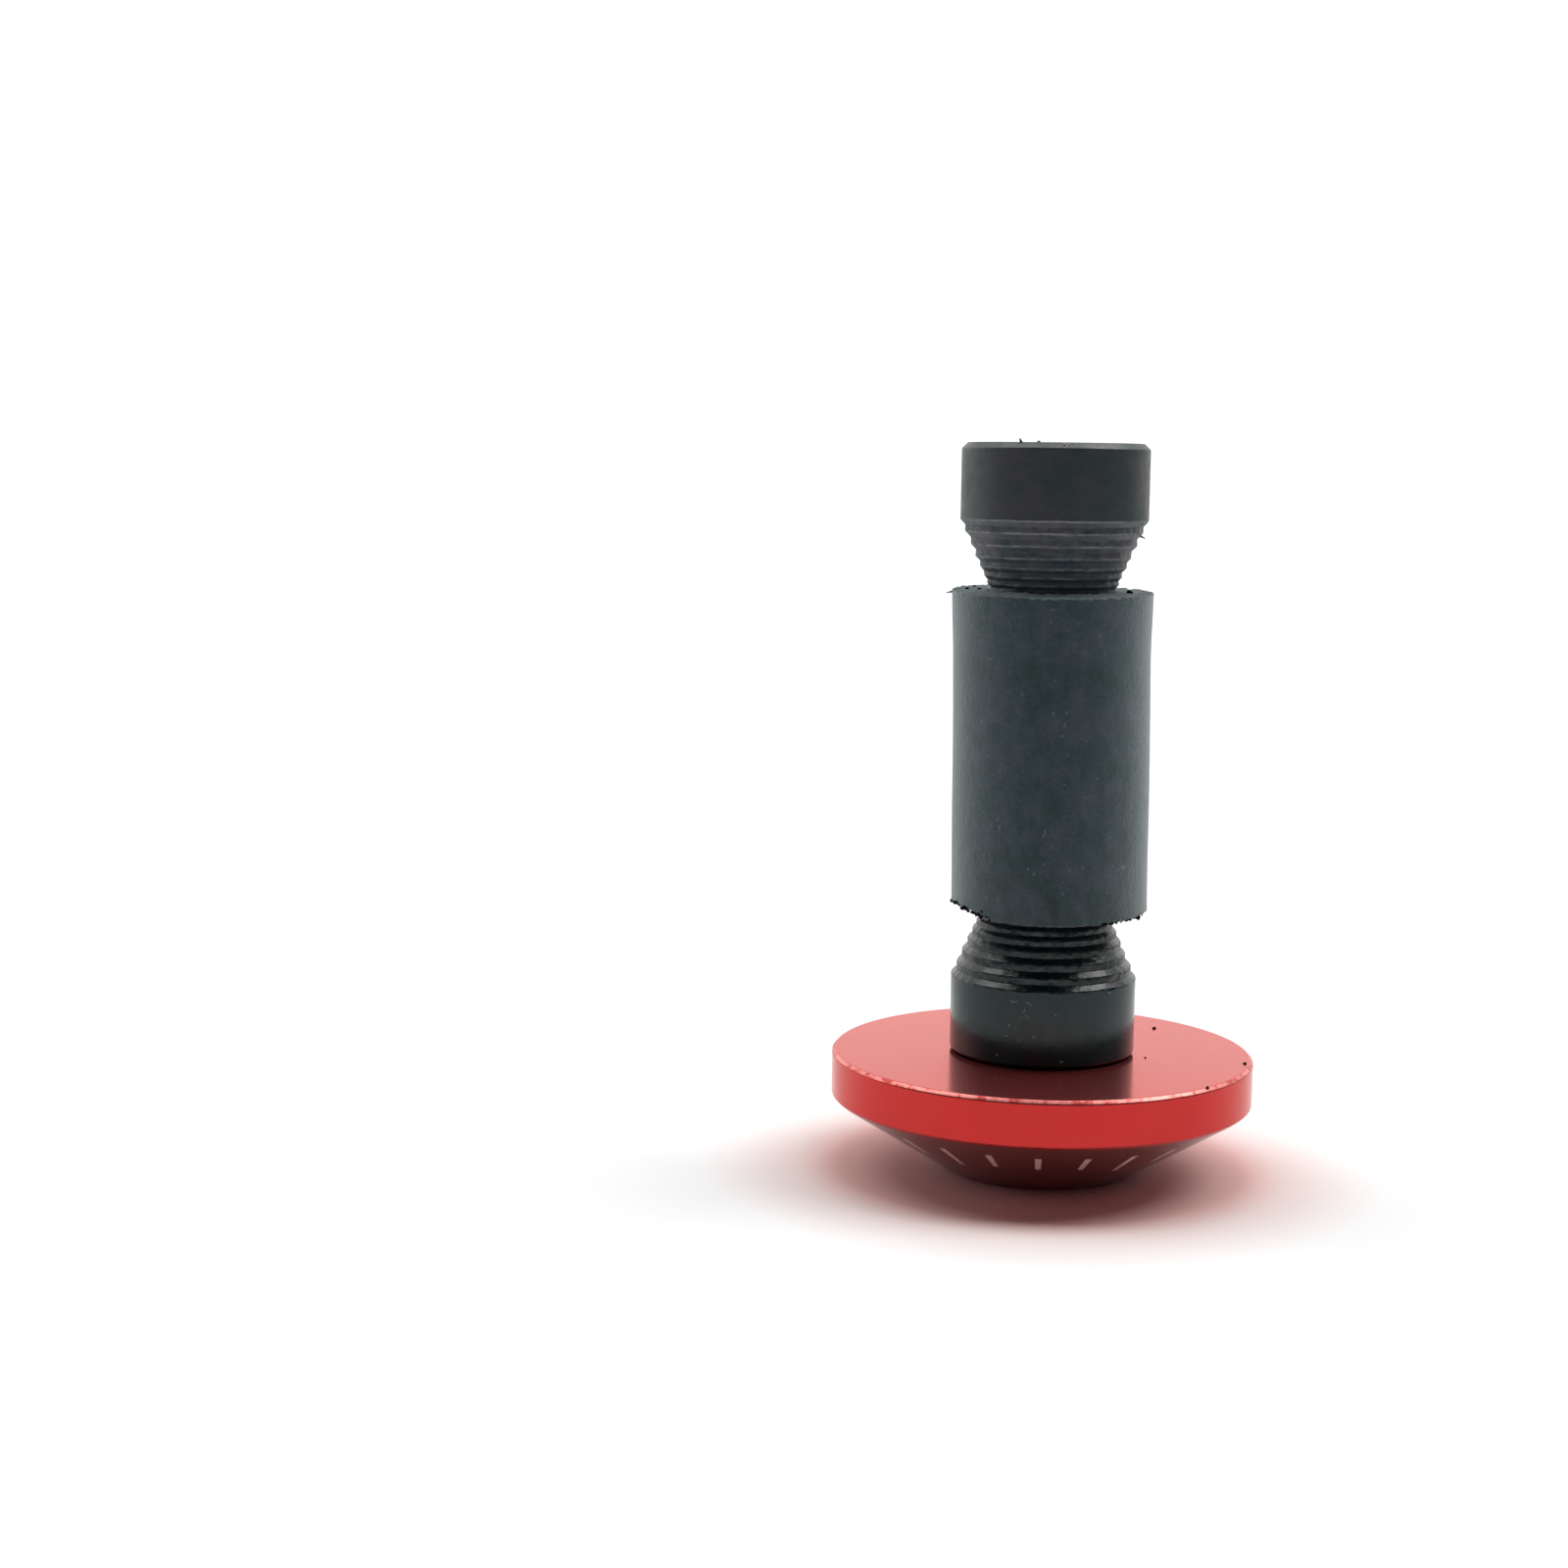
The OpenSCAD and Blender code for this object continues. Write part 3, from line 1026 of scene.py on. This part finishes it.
def make_world():
    """White studio at the back and sides, dim at the front and above, where the lamps are."""
    world = bpy.data.worlds.new("studio")
    bpy.context.scene.world = world
    world.use_nodes = True
    world.node_tree.nodes.clear()
    out = add_node(world, "ShaderNodeOutputWorld")
    back = add_node(world, "ShaderNodeBackground", Color=(1, 1, 1, 1))
    where = add_node(world, "ShaderNodeTexCoord")
    split = add_node(world, "ShaderNodeSeparateXYZ")
    wire(world, where, "Generated", split, "Vector")
    facing = add_node(world, "ShaderNodeVectorMath", operation="DOT_PRODUCT")
    wire(world, where, "Generated", facing, 0)
    facing.inputs[1].default_value = Vector(DIM_SIDE).normalized()
    ahead = to_range(world, facing, "Value", WORLD_LEVEL, DIM_FRONT, *FRONT_FADE)
    above = to_range(world, split, "Z", 1.0, DIM_TOP, *TOP_FADE)
    ahead.interpolation_type = "SMOOTHSTEP"
    above.interpolation_type = "SMOOTHSTEP"
    level = product(world, ahead, "Result", above, "Result")
    path = add_node(world, "ShaderNodeLightPath")
    shown = add_node(world, "ShaderNodeMath", operation="MAXIMUM")
    wire(world, path, "Is Camera Ray", shown, 0)
    wire(world, level, "Value", shown, 1)
    wire(world, shown, "Value", back, "Strength")
    wire(world, back, "Background", out, "Surface")


def make_lamps():
    """Row of wide, even lamps above and a little behind the part."""
    for lean, power in LAMP_ROW:
        data = bpy.data.lights.new("overhead_lamp", "SUN")
        data.angle = math.radians(LAMP_SPREAD)
        data.energy = power
        lamp = bpy.data.objects.new("overhead_lamp", data)
        bpy.context.scene.collection.objects.link(lamp)
        lamp.rotation_euler = Vector((lean, LAMP_BEHIND, 1)).to_track_quat("Z", "Y").to_euler()


def make_camera():
    """Camera at the photograph's view, fitted to the part's own circles and edges."""
    data = bpy.data.cameras.new("camera")
    data.sensor_fit = "HORIZONTAL"
    data.sensor_width = SENSOR_MM
    data.lens = SENSOR_MM * FOCAL_PX / PHOTO_PX
    data.clip_start = CLIP_START
    camera = bpy.data.objects.new("camera", data)
    bpy.context.scene.collection.objects.link(camera)
    yaw, pitch, roll = (math.radians(a) for a in CAMERA_TURN)
    ahead = Vector((math.sin(yaw) * math.cos(pitch), math.cos(yaw) * math.cos(pitch), -math.sin(pitch)))
    side = Vector((math.cos(yaw), -math.sin(yaw), 0))
    over = side.cross(ahead)
    right = side * math.cos(roll) + over * math.sin(roll)
    up = over * math.cos(roll) - side * math.sin(roll)
    camera.matrix_world = Matrix((
        (right.x, up.x, -ahead.x, 0),
        (right.y, up.y, -ahead.y, -CAMERA_BACK),
        (right.z, up.z, -ahead.z, CAMERA_UP),
        (0, 0, 0, 1),
    ))
    bpy.context.scene.camera = camera


make_camera()
make_stage()
make_world()
make_lamps()
bpy.context.scene.view_settings.view_transform = "Standard"
noise.seed_set(BURR_SEED)

grime_and_shade = near_black_grime_and_shade()

bright_red = anodised_red("anodised_red", dark=(0.56, 0.022, 0.020), light=(0.61, 0.028, 0.025))
# Painted shade: a darker, duller copy of the same anodised red, for the sloping face that looks down
shaded_red = anodised_red("anodised_shaded_face", dark=(0.35, 0.050, 0.047), light=(0.40, 0.058, 0.054))
cap = make_cap(bright_red, laser_mark(), grime_and_shade, rim_wear_and_highlight(), shaded_red)
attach(cap, "body")
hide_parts("end_cap")

screw = make_screw(zinc_steel())
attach(screw, "screw")
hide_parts("cap_screw")

front_smooth = black_plastic(
    "front_plastic", colours=((0.006, 0.042, 0.042), (0.011, 0.042, 0.044), (0.018, 0.032, 0.040)),
    rough=(0.12, 0.24), grain_mm=0.006, shine=0.42)
# worn: paler rib ridges, partly wear and partly painted highlight
front_worn = black_plastic(
    "front_ribs", colours=((0.002, 0.011, 0.013), (0.003, 0.011, 0.014), (0.005, 0.009, 0.013)),
    rough=(0.17, 0.34), grain_mm=0.030, shine=0.5, worn=(0.03, 0.042, 0.044))
front = make_front_cone(front_smooth, front_worn, pale_scuff(), grime_and_shade)
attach(front, "body")
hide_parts("front_cone")

rear_smooth = black_plastic(
    "rear_plastic", colours=((0.016, 0.040, 0.039), (0.030, 0.043, 0.048), (0.050, 0.046, 0.056)),
    rough=(0.36, 0.52), grain_mm=0.020, shine=0.7)
# worn: pale rib ridges, partly wear and partly painted highlight
rear_worn = black_plastic(
    "rear_ribs", colours=((0.042, 0.066, 0.080), (0.070, 0.080, 0.096), (0.108, 0.102, 0.112)),
    rough=(0.34, 0.52), grain_mm=0.050, shine=0.5, worn=(0.26, 0.27, 0.27))
rear = make_rear_cone(rear_smooth, rear_worn, pale_dust())
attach(rear, "rear")
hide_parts("rear_cone")

sleeve = make_sleeve(black_rubber(), grime_and_shade)
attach(sleeve, "body")
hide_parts("rubber_sleeve")
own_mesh(sleeve)
